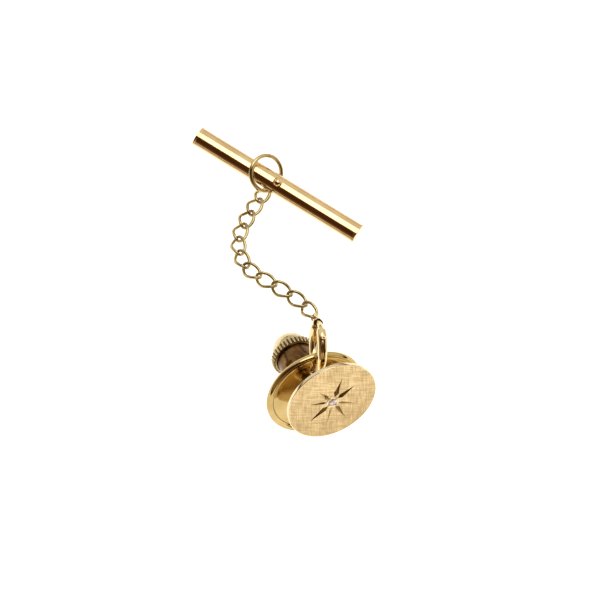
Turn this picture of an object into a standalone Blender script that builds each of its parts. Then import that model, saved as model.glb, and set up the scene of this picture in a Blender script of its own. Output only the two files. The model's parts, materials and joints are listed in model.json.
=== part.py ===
# Tie tack: a star-cut round front with a stone, a pin, a ball-lock clutch, a clasp and chain, and a bar.
# Metres, +Z up. The tack stands on the rims of its clutch plate and knob; the bar lies behind it.
import math

import bmesh
import bpy
from mathutils import Matrix, Vector

MM = 0.001
FIT = 0.03 * MM  # gap between pieces that touch on the real object
RUN = 0.05 * MM  # gap between pieces that slide or turn on each other

# How the tack leans and faces. Its frame has x to one side, y up its face and z out of its face.
TACK_HEADING = math.radians(-65.8)

# Front plate
FRONT_LONG = 9.8 * MM
FRONT_SHORT = 9.5 * MM
FRONT_TURN = math.radians(20)
FRONT_THICK = 0.45 * MM
FRONT_RISE = 0.12 * MM
FRONT_ASIDE = 0.95 * MM
FRONT_ABOVE = 0.82 * MM
FRONT_GAP = 2.15 * MM  # from the clutch rim to the plate's back

# Star: each ray's direction in degrees, its reach and its width
RAYS = (
    (59, 3.1, 0.55),
    (20, 2.8, 0.55),
    (-34, 2.8, 0.26),
    (-73, 3.0, 0.45),
    (-113, 2.9, 0.26),
    (-153, 3.1, 0.55),
    (159, 2.6, 0.26),
    (118, 2.4, 0.45),
)
RAY_START = 0.72 * MM
RAY_DEPTH = 0.16 * MM
RAY_SWELL = 0.22  # where a ray is widest, as a share of its length
STONE_RADIUS = 0.5 * MM
STONE_HEIGHT = 0.5 * MM
SETTING_RADIUS = 0.66 * MM
SETTING_HEIGHT = 0.16 * MM
BEAD_RADIUS = 0.1 * MM
BEADS = 4

# Pin. The barrel sets its thickness, because the balls have to fit between the two.
BARREL_RADIUS = 2.0 * MM
PIN_RADIUS = 0.25 * BARREL_RADIUS
PIN_LENGTH = 8.2 * MM
PIN_POINT = 1.1 * MM
PIN_GROOVE = 0.24 * PIN_RADIUS
PAD_RADIUS = 1.9 * PIN_RADIUS
PAD_HEIGHT = 0.35 * MM

# Clutch plate: a shallow dish with a rolled rim and a chain hole
CLUTCH_RADIUS = 5.25 * MM
RIM_RADIUS = 0.37 * MM
DISH_DEPTH = 0.42 * MM
DISH_THICK = 0.32 * MM
CHAIN_HOLE_RADIUS = 0.9 * MM
CHAIN_HOLE_ASIDE = 0.95 * MM
CHAIN_HOLE_ABOVE = 2.95 * MM

# Clutch barrel and what it holds
BARREL_WAIST = 0.05 * BARREL_RADIUS
BARREL_WALL = 0.15 * BARREL_RADIUS
BARREL_LENGTH = 5.15 * MM
BUSH_WALL = 0.25 * MM
TAPER_ANGLE = math.radians(10)
TAPER_LENGTH = 0.9 * BARREL_RADIUS
BALL_RADIUS = 0.2 * BARREL_RADIUS
BALLS = 3
BALL_BACK = 2.05 * MM  # from the dish's back to the balls
CAGE_HEAD = 0.7 * BARREL_RADIUS
CAGE_FLANGE = 0.2 * MM
STEM_WALL = 0.14 * BARREL_RADIUS
PULL = 0.8 * MM
SPRING_WIRE = 0.16 * MM
SPRING_TURNS = 5

# Knob
KNURL_RADIUS = BARREL_RADIUS + 0.45 * MM
KNURL_LENGTH = 0.85 * MM
KNURL_BACK = 5.2 * MM  # from the rim's middle to the knob's mouth
KNURL_DEPTH = 0.11 * MM
KNURL_RIDGES = 36
DOME_RADIUS = KNURL_RADIUS - 0.52 * MM
DOME_WALL = 0.3 * MM
DOME_STEP = 0.27 * MM  # from the knurl's back to the dome's middle

# Spring ring clasp. Angles run from the reach direction towards the face.
CLASP_RADIUS = 2.32 * MM
CLASP_TUBE = 0.52 * MM
CLASP_BORE = 0.33 * MM
CLASP_HEADING = math.radians(90)
CLASP_RISE = math.radians(21)
CLASP_ROLL = math.radians(101)
CLASP_HANG = math.radians(191)
CLASP_EYE = math.radians(-35)
CLASP_GAP = (math.radians(2), math.radians(48))
CLASP_THUMB = math.radians(72)
BOLT_SOCKET = math.radians(8)
BOLT_TAIL = math.radians(52)
BOLT_TRAVEL = math.radians(48)
THUMB_RADIUS = 0.13 * MM
THUMB_HEAD = 0.22 * MM
THUMB_REACH = 0.3 * MM
COIL_WIRE = 0.1 * MM
COIL_TURNS = 9
EYE_RADIUS = 0.4 * MM
EYE_WIRE = 0.13 * MM

# Chain
LINKS = 11
LINK_LENGTH = 2.75 * MM
LINK_WIDTH = 1.75 * MM
LINK_WIRE = 0.165 * MM
LINK_TWIST = math.radians(-45)
LINK_SLACK = 0.1 * MM
LAST_ROLL = math.radians(-15)  # the last link lies over to suit the ring

# The chain's way from the clasp eye, in millimetres across, back and down
ROUTE = (
    (-1.0, 1.7, -0.95),
    (-4.0, 4.0, -1.6),
    (-7.0, 6.3, -2.6),
    (-7.95, 9.8, -4.1),
    (-6.8, 13.2, -5.6),
    (-5.1, 16.4, -7.05),
)
ROUTE_SPARE = 3.0  # how far the way runs straight on, as a share of its last step

# Bar and its ring
BAR_LENGTH = 20.0 * MM
BAR_WIDTH = 2.15 * MM
BAR_HEIGHT = 0.85 * MM
BAR_EDGE = 0.12 * MM
BAR_END = 4.0 * MM  # the length of each end section
BAR_HEADING = math.radians(-33)
BAR_ASIDE = 0.42 * MM
BAR_LIFT = 0.31 * MM
RING_RADIUS = 1.85 * MM
RING_WIRE = 0.225 * MM
RING_PLAY = 0.32 * MM
RING_TILT = math.radians(38)
RING_HOOK = math.radians(-54)
STUD_RADIUS = 0.5 * MM
STUD_HEIGHT = 0.34 * MM
STUD_SHANK = 0.2 * MM
STUD_ALONG = 1.7 * MM  # from the ring's middle

ROUND = 36
SMALL = 20

# Places along the tack's axis, worked out from the sizes above
RIM_CENTRE = CLUTCH_RADIUS - RIM_RADIUS
FRONT_BACK = RIM_RADIUS + FRONT_GAP
DISH_BACK = RIM_RADIUS - DISH_DEPTH - DISH_THICK
BORE_RADIUS = BARREL_RADIUS - BARREL_WAIST - BARREL_WALL
GUIDE_RADIUS = PIN_RADIUS + RUN
STEM_RADIUS = GUIDE_RADIUS + STEM_WALL
BALL_SEAT = PIN_RADIUS + BALL_RADIUS + 0.4 * RUN
BALL_PLACE = DISH_BACK - BALL_BACK
KNOB_MOUTH = -KNURL_BACK
KNURL_END = KNOB_MOUTH - KNURL_LENGTH
BARREL_FRONT = DISH_BACK - FIT
BARREL_END = BARREL_FRONT - BARREL_LENGTH
DOME_CENTRE = KNURL_END - DOME_STEP
EYE_REACH = CLASP_RADIUS + CLASP_TUBE + FIT + EYE_WIRE + EYE_RADIUS
LINK_SPAN = LINK_LENGTH - 2 * LINK_WIRE
LINK_PITCH = LINK_SPAN - 2 * LINK_WIRE - LINK_SLACK
LINK_JOIN = (LINK_SPAN - LINK_PITCH) / 2  # from where two links cross to the middle of either one's wire


def clear_scene():
    for old in list(bpy.data.objects):
        bpy.data.objects.remove(old, do_unlink=True)


def make_finish(name, colour, roughness, metallic=1.0):
    finish = bpy.data.materials.new(name)
    finish.use_nodes = True
    shader = finish.node_tree.nodes["Principled BSDF"]
    shader.inputs["Base Color"].default_value = (*colour, 1.0)
    shader.inputs["Roughness"].default_value = roughness
    shader.inputs["Metallic"].default_value = metallic
    return finish


def make_empty(name, matrix, parent=None):
    empty = bpy.data.objects.new(name, None)
    bpy.context.collection.objects.link(empty)
    empty.parent = parent
    empty.matrix_local = parent.matrix_world.inverted() @ matrix if parent else matrix
    bpy.context.view_layer.update()
    return empty


def add_object(name, shape, parent, finish, place=None):
    """Makes one named piece from a bmesh, given in its parent's frame or at a place in it."""
    bmesh.ops.recalc_face_normals(shape, faces=shape.faces)
    mesh = bpy.data.meshes.new(name)
    shape.to_mesh(mesh)
    shape.free()
    mesh.shade_smooth()
    mesh.set_sharp_from_angle(angle=math.radians(35))
    piece = bpy.data.objects.new(name, mesh)
    bpy.context.collection.objects.link(piece)
    piece.parent = parent
    piece.matrix_local = place or Matrix.Identity(4)
    own = finish.copy()
    own.name = name
    mesh.materials.append(own)
    return piece


def add_cutter(name, shape, parent, place=None):
    cutter = add_object(name, shape, parent, finishes["steel"], place)
    cutter.hide_render = True
    cutter.display_type = "WIRE"
    return cutter


def combine(piece, other, operation):
    step = piece.modifiers.new(other.name, "BOOLEAN")
    step.operation = operation
    step.object = other
    step.solver = "EXACT"


def heading_frame(origin, heading, rise, roll):
    """A frame whose x axis points along a heading and a rise, turned about itself by roll."""
    turn = Matrix.Rotation(heading, 4, "Z") @ Matrix.Rotation(-rise, 4, "Y") @ Matrix.Rotation(roll, 4, "X")
    return Matrix.Translation(origin) @ turn


def axes_frame(origin, along, up):
    """A frame whose x axis points along a direction, with z as near to up as it can be."""
    x = along.normalized()
    y = up.cross(x).normalized()
    z = x.cross(y)
    turn = Matrix((x, y, z)).transposed().to_4x4()
    return Matrix.Translation(origin) @ turn


def around(count, start=0.0):
    return [start + 2 * math.pi * step / count for step in range(count)]


def arc(centre_r, centre_z, radius, start, end, steps):
    """Points of an arc in a turned profile, angles in degrees from outwards towards the front."""
    angles = [math.radians(start + (end - start) * step / steps) for step in range(steps + 1)]
    return [(centre_r + radius * math.cos(a), centre_z + radius * math.sin(a)) for a in angles]


def turned(profile, segments):
    """A turned shape about z, from a closed profile that may touch the axis at two neighbouring points."""
    shape = bmesh.new()
    loops = []
    for radius, height in profile:
        if radius <= 0:
            loops.append([shape.verts.new((0, 0, height))] * segments)
        else:
            points = [(radius * math.cos(a), radius * math.sin(a), height) for a in around(segments)]
            loops.append([shape.verts.new(p) for p in points])
    for low, high in zip(loops, loops[1:] + loops[:1]):
        for i in range(segments):
            j = (i + 1) % segments
            corners = list(dict.fromkeys((low[i], low[j], high[j], high[i])))
            if len(corners) > 2:
                shape.faces.new(corners)
    return shape


def ring_of(shape, point, along, up, radius, sides):
    side = along.cross(up).normalized()
    rise = side.cross(along).normalized()
    points = [point + radius * (math.cos(a) * side + math.sin(a) * rise) for a in around(sides)]
    return [shape.verts.new(p) for p in points]


def bridge(shape, low, high):
    count = len(low)
    for i in range(count):
        j = (i + 1) % count
        shape.faces.new((low[i], low[j], high[j], high[i]))


def wire(path, ups, radius, sides, closed):
    """A round wire along a path. ups gives, for each point, a direction that the path never takes."""
    shape = bmesh.new()
    rings = []
    last = len(path) - 1
    for i, point in enumerate(path):
        before = path[i - 1] if closed or i > 0 else point
        after = path[(i + 1) % len(path)] if closed or i < last else point
        rings.append(ring_of(shape, point, (after - before).normalized(), ups[i], radius, sides))
    for low, high in zip(rings, rings[1:]):
        bridge(shape, low, high)
    if closed:
        bridge(shape, rings[-1], rings[0])
    else:
        shape.faces.new(rings[0])
        shape.faces.new(rings[-1])
    return shape


def circle_path(radius, steps, start=0.0, end=2 * math.pi, closed=True):
    count = steps if closed else steps + 1
    angles = [start + (end - start) * step / steps for step in range(count)]
    return [Vector((radius * math.cos(a), radius * math.sin(a), 0)) for a in angles]


def hoop(radius, thick, steps, sides):
    path = circle_path(radius, steps)
    return wire(path, [Vector((0, 0, 1))] * len(path), thick, sides, True)


def coil(radius, thick, low, high, turns, steps, sides):
    """A coil spring about z between two heights."""
    count = turns * steps
    path = []
    for step in range(count + 1):
        angle = 2 * math.pi * step / steps
        height = low + thick + (high - low - 2 * thick) * step / count
        path.append(Vector((radius * math.cos(angle), radius * math.sin(angle), height)))
    return wire(path, [Vector((0, 0, 1))] * len(path), thick, sides, False)


def rod(radius, low, high, sides):
    return turned([(0, low), (radius, low), (radius, high), (0, high)], sides)


# The tack leans until the rolled rim and the knob's knurl both touch the table.
TACK_LEAN = math.atan2(RIM_CENTRE - KNURL_RADIUS, -KNURL_END) + math.asin(
    RIM_RADIUS / math.hypot(RIM_CENTRE - KNURL_RADIUS, KNURL_END)
)
TACK_HEIGHT = RIM_CENTRE * math.cos(TACK_LEAN) + RIM_RADIUS

clear_scene()
finishes = {
    "brushed": make_finish("brushed_gold", (0.80, 0.66, 0.38), 0.42),
    "polished": make_finish("polished_gold", (0.83, 0.66, 0.36), 0.12),
    "satin": make_finish("satin_gold", (0.78, 0.66, 0.42), 0.3),
    "steel": make_finish("spring_steel", (0.62, 0.62, 0.62), 0.3),
    "stone": make_finish("stone", (0.93, 0.86, 0.84), 0.02, 0.0),
}

layout = make_empty("tie_tack", Matrix.Identity(4))
swap = Matrix(((0, 0, 1, 0), (1, 0, 0, 0), (0, 1, 0, 0), (0, 0, 0, 1)))
tack_matrix = heading_frame(Vector((0, 0, TACK_HEIGHT)), TACK_HEADING, TACK_LEAN, 0) @ swap
tack = make_empty("tack", tack_matrix, layout)


def ray_shape(shape, turn, reach, width, surface):
    """A V-cut ray: widest near its root, with its keel below the surface and its back above it."""
    out = Vector((math.cos(turn), math.sin(turn), 0))
    side = Vector((-out.y, out.x, 0))
    high = Vector((0, 0, surface))
    middle = RAY_START + RAY_SWELL * (reach - RAY_START)
    deep = min(RAY_DEPTH, 0.45 * width)
    lift = 0.3 * MM
    widen = 1 + lift / deep
    ends = [shape.verts.new(high + RAY_START * out), shape.verts.new(high + reach * out)]
    keel = shape.verts.new(high + middle * out - Vector((0, 0, deep)))
    left = shape.verts.new(high + middle * out + widen * width / 2 * side + Vector((0, 0, lift)))
    right = shape.verts.new(high + middle * out - widen * width / 2 * side + Vector((0, 0, lift)))
    for end in ends:
        shape.faces.new((end, keel, left))
        shape.faces.new((end, keel, right))
        shape.faces.new((end, left, right))


def make_head():
    """The front plate with its star and stone, and the pin behind it."""
    face = FRONT_BACK + FRONT_THICK
    edge = 0.06 * MM
    radius = FRONT_SHORT / 2
    stretch = FRONT_LONG / FRONT_SHORT
    crown = [(radius * (1 - step / 5), face + FRONT_RISE * (1 - (1 - step / 5) ** 2)) for step in range(1, 6)]
    outline = [(0, FRONT_BACK), (radius - edge, FRONT_BACK), (radius, FRONT_BACK + edge)]
    outline += [(radius, face - edge), (radius - edge, face)] + crown
    place = Matrix.Translation((FRONT_ASIDE, FRONT_ABOVE, 0))
    oval = place @ Matrix.Rotation(FRONT_TURN, 4, "Z") @ Matrix.Diagonal((stretch, 1, 1, 1))
    shape = turned(outline, ROUND)
    shape.transform(oval)
    plate = add_object("front_plate", shape, tack, finishes["brushed"])

    rays = bmesh.new()
    for degrees, reach, width in RAYS:
        ray_shape(rays, math.radians(degrees), reach * MM, width * MM, face + 0.8 * FRONT_RISE)
    combine(plate, add_cutter("star_cutter", rays, tack, place), "DIFFERENCE")
    seat = rod(SETTING_RADIUS + FIT, face - STONE_HEIGHT / 2, face + 1 * MM, SMALL)
    combine(plate, add_cutter("seat_cutter", seat, tack, place), "DIFFERENCE")
    socket = rod(PAD_RADIUS + FIT, FRONT_BACK - 1 * MM, FRONT_BACK + FRONT_THICK / 4, SMALL)
    combine(plate, add_cutter("pad_cutter", socket, tack), "DIFFERENCE")

    # The setting is a ring let into the plate, with beads that hold the stone.
    top = face + SETTING_HEIGHT
    low = face - STONE_HEIGHT / 2 + FIT
    inner = STONE_RADIUS + FIT
    cup = [(inner * 0.5, low), (SETTING_RADIUS, low), (SETTING_RADIUS, top), (inner, top)]
    cup += [(inner, top - 0.12 * MM), (inner * 0.5, low + 0.06 * MM)]
    setting = add_object("stone_setting", turned(cup, SMALL), tack, finishes["polished"], place)
    for number, turn in enumerate(around(BEADS, math.radians(25))):
        bead = bmesh.new()
        bmesh.ops.create_icosphere(bead, subdivisions=1, radius=BEAD_RADIUS)
        reach = SETTING_RADIUS - BEAD_RADIUS
        spot = Vector((reach * math.cos(turn), reach * math.sin(turn), top))
        ball = add_cutter(f"bead_{number + 1}", bead, tack, place @ Matrix.Translation(spot))
        combine(setting, ball, "UNION")

    girdle = top - 0.1 * MM
    crown_top = girdle + 0.32 * STONE_RADIUS
    culet = low + 0.12 * MM
    gem = [(0, culet), (STONE_RADIUS, girdle), (STONE_RADIUS, girdle + 0.03 * MM)]
    gem += [(0.55 * STONE_RADIUS, crown_top), (0, crown_top)]
    stone = add_object("stone", turned(gem, 8), tack, finishes["stone"], place)
    stone.data.shade_flat()

    # The pad sits in the plate's back and carries the pin.
    base = FRONT_BACK + FRONT_THICK / 4 - FIT
    foot = FRONT_BACK - PAD_HEIGHT
    pad = [(PIN_RADIUS + FIT, base), (PAD_RADIUS, base), (PAD_RADIUS, FRONT_BACK - 0.1 * MM)]
    pad += [(PIN_RADIUS + 0.12 * MM, foot), (PIN_RADIUS + FIT, foot)]
    add_object("pin_pad", turned(pad, SMALL), tack, finishes["polished"])
    tip = FRONT_BACK - PIN_LENGTH
    neck = tip + PIN_POINT
    pin = [(0, base), (PIN_RADIUS, base), (PIN_RADIUS, neck + 0.7 * MM)]
    pin += [(PIN_RADIUS - PIN_GROOVE, neck + 0.55 * MM), (PIN_RADIUS - PIN_GROOVE, neck + 0.35 * MM)]
    pin += [(PIN_RADIUS, neck + 0.2 * MM), (PIN_RADIUS, neck), (0.3 * PIN_RADIUS, tip + 0.1 * MM), (0, tip)]
    add_object("pin", turned(pin, SMALL), tack, finishes["polished"])


def dish_height(radius):
    """The dish's front surface: deepest at its middle, level with the rim's middle at its edge."""
    share = min(1.0, radius / RIM_CENTRE)
    return RIM_RADIUS - DISH_DEPTH * (1 - share**2) - RIM_RADIUS * 0.6 * share**2


def make_clutch():
    """The dished plate, its guide bush, the barrel and the tapered sleeve pressed into it."""
    bush_radius = GUIDE_RADIUS + BUSH_WALL
    hole = bush_radius + RUN
    marks = [hole + (RIM_CENTRE - RIM_RADIUS - hole) * step / 3 for step in range(4)]
    flat = BARREL_RADIUS + 0.2 * MM
    front = [(r, dish_height(r)) for r in marks]
    back = [(r, dish_height(r) - DISH_THICK if r > flat else DISH_BACK) for r in reversed(marks)]
    rim = arc(RIM_CENTRE, 0, RIM_RADIUS, 165, -150, 7)
    plate = add_object("clutch_plate", turned(front + rim + back, ROUND), tack, finishes["polished"])
    spot = Matrix.Translation((CHAIN_HOLE_ASIDE, CHAIN_HOLE_ABOVE, 0))
    drill = rod(CHAIN_HOLE_RADIUS, -2 * MM, 2 * MM, SMALL)
    combine(plate, add_cutter("chain_hole_cutter", drill, tack, spot), "DIFFERENCE")

    top = dish_height(0)
    tail = DISH_BACK - 0.28 * MM
    bush = [(GUIDE_RADIUS, tail), (bush_radius + 0.2 * MM, tail), (bush_radius + 0.2 * MM, DISH_BACK - RUN)]
    bush += [(bush_radius, DISH_BACK - RUN), (bush_radius, top), (GUIDE_RADIUS, top)]
    add_object("guide_bush", turned(bush, SMALL), tack, finishes["polished"])

    waist = BARREL_RADIUS - BARREL_WAIST
    outer = [(BARREL_RADIUS + 0.12 * MM, BARREL_FRONT), (BARREL_RADIUS + 0.12 * MM, BARREL_FRONT - 0.3 * MM)]
    outer += [(waist, BARREL_FRONT - 0.6 * MM), (waist, BARREL_FRONT - 2.9 * MM)]
    outer += [(BARREL_RADIUS, BARREL_FRONT - 3.3 * MM), (BARREL_RADIUS, BARREL_END)]
    lip = STEM_RADIUS + RUN
    inner = [(lip, BARREL_END), (lip, BARREL_END + 0.25 * MM), (BORE_RADIUS, BARREL_END + 0.25 * MM)]
    inner += [(BORE_RADIUS, BARREL_FRONT)]
    add_object("clutch_barrel", turned(outer + inner, 24), tack, finishes["satin"])

    slope = math.tan(TAPER_ANGLE)
    touch = BALL_SEAT + (BALL_RADIUS + 0.4 * RUN) / math.cos(TAPER_ANGLE)
    ahead = BALL_PLACE + TAPER_LENGTH / 2
    behind = BALL_PLACE - TAPER_LENGTH / 2
    outside = BORE_RADIUS - FIT
    narrow = touch - slope * TAPER_LENGTH / 2
    wide = touch + slope * TAPER_LENGTH / 2
    sleeve = [(narrow, ahead), (wide, behind), (outside, behind), (outside, ahead)]
    add_object("taper_sleeve", turned(sleeve, 24), tack, finishes["steel"])
    return narrow


def make_knob(narrow):
    """The knob, the ball cage fixed in it, the balls and the spring."""
    cavity = BARREL_RADIUS + RUN
    shelf = BARREL_END - RUN
    dome_inner = DOME_RADIUS - DOME_WALL
    start = math.degrees(math.asin((DOME_CENTRE - KNURL_END) / DOME_RADIUS))
    dome = arc(0, DOME_CENTRE, DOME_RADIUS, start, -90, 6)
    hollow = arc(0, DOME_CENTRE, dome_inner, 0, -75, 3)
    outer = [(KNURL_RADIUS - 0.25 * MM, KNOB_MOUTH), (KNURL_RADIUS - 0.25 * MM, KNURL_END)] + dome[:-1]
    shell = outer + [(0, dome[-1][1])]
    shell += [(0, hollow[-1][1])] + hollow[::-1]
    shell += [(dome_inner, shelf), (cavity, shelf), (cavity, KNOB_MOUTH)]
    knob = add_object("knob", turned(shell, 28), tack, finishes["satin"])

    collar = bmesh.new()
    knurl(collar)
    combine(knob, add_cutter("knurl_shape", collar, tack), "UNION")

    # The cage: a head with three ball holes, a spring flange and a stem fixed in the knob.
    head_radius = narrow - RUN
    head_front = BALL_PLACE + CAGE_HEAD / 2
    head_back = BALL_PLACE - TAPER_LENGTH / 2 - RUN
    flange = head_back - CAGE_FLANGE
    end = DOME_CENTRE - 1.0 * MM
    cage = [(GUIDE_RADIUS, head_front), (head_radius, head_front), (head_radius, head_back)]
    cage += [(BORE_RADIUS - RUN, head_back), (BORE_RADIUS - RUN, flange), (STEM_RADIUS, flange)]
    cage += [(STEM_RADIUS, end), (GUIDE_RADIUS, end)]
    piece = add_object("ball_cage", turned(cage, SMALL), tack, finishes["steel"])
    drills = bmesh.new()
    across = Matrix.Rotation(math.pi / 2, 4, "Y")
    for turn in around(BALLS, math.pi / 2):
        part = rod(BALL_RADIUS + RUN, PIN_RADIUS / 2, BARREL_RADIUS + RUN, 12)
        part.transform(Matrix.Translation((0, 0, BALL_PLACE)) @ Matrix.Rotation(turn, 4, "Z") @ across)
        spare = bpy.data.meshes.new("drill")
        part.to_mesh(spare)
        part.free()
        drills.from_mesh(spare)
        bpy.data.meshes.remove(spare)
    combine(piece, add_cutter("ball_drill", drills, tack), "DIFFERENCE")

    for number, turn in enumerate(around(BALLS, math.pi / 2)):
        ball = bmesh.new()
        bmesh.ops.create_icosphere(ball, subdivisions=2, radius=BALL_RADIUS)
        spot = Vector((BALL_SEAT * math.cos(turn), BALL_SEAT * math.sin(turn), BALL_PLACE))
        add_object(f"ball_{number + 1}", ball, tack, finishes["steel"], Matrix.Translation(spot))

    low = BARREL_END + 0.25 * MM + FIT
    mean = (STEM_RADIUS + BORE_RADIUS) / 2
    spring = coil(mean, SPRING_WIRE / 2, low, flange - FIT, SPRING_TURNS, 14, 5)
    add_object("knob_spring", spring, tack, finishes["steel"])


def knurl(shape):
    """The coin edge: a ring whose outer side goes in and out once for each ridge."""
    segments = 2 * KNURL_RIDGES
    inner = KNURL_RADIUS - 0.35 * MM
    bevel = 0.1 * MM
    profile = [(inner, KNOB_MOUTH), (KNURL_RADIUS - bevel, KNOB_MOUTH), (KNURL_RADIUS, KNOB_MOUTH - bevel)]
    profile += [(KNURL_RADIUS, KNURL_END + bevel), (KNURL_RADIUS - bevel, KNURL_END), (inner, KNURL_END)]
    loops = []
    for radius, height in profile:
        loop = []
        for i, turn in enumerate(around(segments)):
            reach = radius - (KNURL_DEPTH if i % 2 and radius > KNURL_RADIUS - 2 * bevel else 0)
            loop.append(shape.verts.new((reach * math.cos(turn), reach * math.sin(turn), height)))
        loops.append(loop)
    for low, high in zip(loops, loops[1:] + loops[:1]):
        bridge(shape, low, high)


def clasp_point(angle, reach=CLASP_RADIUS):
    return Vector((reach * math.cos(angle), reach * math.sin(angle), 0))


def arc_wire(start, end, steps, thick, sides):
    path = circle_path(CLASP_RADIUS, steps, start, end, closed=False)
    return wire(path, [Vector((0, 0, 1))] * len(path), thick, sides, False)


def pipe(start, end, steps, outer, inner, sides):
    """A bent pipe along the clasp's circle, open at both ends."""
    shape = bmesh.new()
    up = Vector((0, 0, 1))
    outside, inside = [], []
    for step in range(steps + 1):
        angle = start + (end - start) * step / steps
        along = Vector((-math.sin(angle), math.cos(angle), 0))
        outside.append(ring_of(shape, clasp_point(angle), along, up, outer, sides))
        inside.append(ring_of(shape, clasp_point(angle), along, up, inner, sides))
    for loops in (outside, inside):
        for low, high in zip(loops, loops[1:]):
            bridge(shape, low, high)
    bridge(shape, outside[0], inside[0])
    bridge(shape, outside[-1], inside[-1])
    return shape


def curved_block(start, end, steps, near, far, half):
    """A block bent round the clasp's axis, between two radii."""
    shape = bmesh.new()
    loops = []
    for step in range(steps + 1):
        angle = start + (end - start) * step / steps
        corners = ((near, -half), (far, -half), (far, half), (near, half))
        loops.append([shape.verts.new(clasp_point(angle, r) + Vector((0, 0, h))) for r, h in corners])
    for low, high in zip(loops, loops[1:]):
        bridge(shape, low, high)
    shape.faces.new(loops[0])
    shape.faces.new(loops[-1])
    return shape


def radial_place(angle):
    """A frame in the clasp with z pointing out along an angle."""
    return Matrix.Rotation(angle, 4, "Z") @ Matrix.Rotation(math.pi / 2, 4, "Y")


def make_clasp(clasp):
    """The spring ring: an open tube, its eye, the sliding bolt with its thumb tab, and the bolt's spring."""
    opening, closing = CLASP_GAP
    tube = pipe(closing, opening + 2 * math.pi, 24, CLASP_TUBE, CLASP_BORE, 10)
    ring = add_object("clasp_tube", tube, clasp, finishes["polished"])
    spare = math.asin((THUMB_RADIUS + RUN) / CLASP_RADIUS)
    slot_end = CLASP_THUMB + BOLT_TRAVEL + spare
    outside = CLASP_RADIUS + 2 * CLASP_TUBE
    slot = curved_block(CLASP_THUMB - spare, slot_end, 8, CLASP_RADIUS, outside, THUMB_RADIUS + RUN)
    combine(ring, add_cutter("slot_cutter", slot, clasp), "DIFFERENCE")

    bolt_radius = CLASP_BORE - RUN
    tail = CLASP_THUMB + BOLT_TAIL
    bolt_shape = arc_wire(opening - BOLT_SOCKET, tail, 12, bolt_radius, 8)
    bolt = add_object("clasp_bolt", bolt_shape, clasp, finishes["polished"])
    reach = CLASP_RADIUS + CLASP_TUBE + THUMB_REACH
    stem = rod(THUMB_RADIUS, CLASP_RADIUS, reach, 8)
    combine(bolt, add_cutter("thumb_stem", stem, clasp, radial_place(CLASP_THUMB)), "UNION")
    head = bmesh.new()
    bmesh.ops.create_icosphere(head, subdivisions=2, radius=THUMB_HEAD)
    spot = Matrix.Translation(clasp_point(CLASP_THUMB, reach))
    combine(bolt, add_cutter("thumb_head", head, clasp, spot), "UNION")

    # The coil lies in the tube's bore behind the bolt.
    coil_radius = CLASP_BORE - RUN - COIL_WIRE / 2
    room = COIL_WIRE / CLASP_RADIUS / 2
    start = tail + room
    finish = CLASP_EYE + 2 * math.pi - math.radians(20)
    count = COIL_TURNS * 10
    path, ups = [], []
    for step in range(count + 1):
        turn = 2 * math.pi * step / 10
        angle = start + room + (finish - start) * step / count
        out = Vector((math.cos(angle), math.sin(angle), 0))
        across = math.cos(turn) * out + math.sin(turn) * Vector((0, 0, 1))
        path.append(CLASP_RADIUS * out + coil_radius * across)
        ups.append(Vector((-math.sin(angle), math.cos(angle), 0)))
    add_object("clasp_spring", wire(path, ups, COIL_WIRE / 2, 4, False), clasp, finishes["steel"])


def make_eye(clasp, through):
    """A small loop on the tube's outer side, turned until its hole faces along the first link's end wire."""
    facing = clasp.matrix_world.to_3x3().inverted() @ through
    side = Vector((-math.sin(CLASP_EYE), math.cos(CLASP_EYE), 0))
    turn = Matrix.Rotation(math.atan2(-facing.dot(side), facing.z), 4, "X")
    place = Matrix.Translation(clasp_point(CLASP_EYE, EYE_REACH)) @ Matrix.Rotation(CLASP_EYE, 4, "Z") @ turn
    add_object("clasp_eye", hoop(EYE_RADIUS, EYE_WIRE, 16, 6), clasp, finishes["polished"], place)


def link_path():
    """A curb link: an oval whose two ends are twisted opposite ways about its length."""
    path, ups = [], []
    for turn in around(20):
        x = LINK_SPAN / 2 * math.cos(turn)
        y = (LINK_WIDTH / 2 - LINK_WIRE) * math.sin(turn)
        twist = LINK_TWIST * math.cos(turn)
        path.append(Vector((x, y * math.cos(twist), y * math.sin(twist))))
        ups.append(Vector((0, -math.sin(twist), math.cos(twist))))
    return path, ups


def smooth_route(points, steps):
    """A smooth curve through points (Catmull-Rom), as a list of closely spaced points."""
    ends = [2 * points[0] - points[1]] + points + [2 * points[-1] - points[-2]]
    curve = []
    for a, b, c, d in zip(ends, ends[1:], ends[2:], ends[3:]):
        for step in range(steps):
            t = step / steps
            square = (2 * a - 5 * b + 4 * c - d) * t**2
            cube = (3 * b - a - 3 * c + d) * t**3
            curve.append(0.5 * (2 * b + (c - a) * t + square + cube))
    return curve + [points[-1]]


def walk(curve, place, reach):
    """The first point along a curve, from a place on it, that is a straight reach away."""
    origin = curve[place]
    for index in range(place, len(curve) - 1):
        if (curve[index + 1] - origin).length >= reach:
            return index + 1
    raise ValueError("the chain's way is too short for its links")


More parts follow.
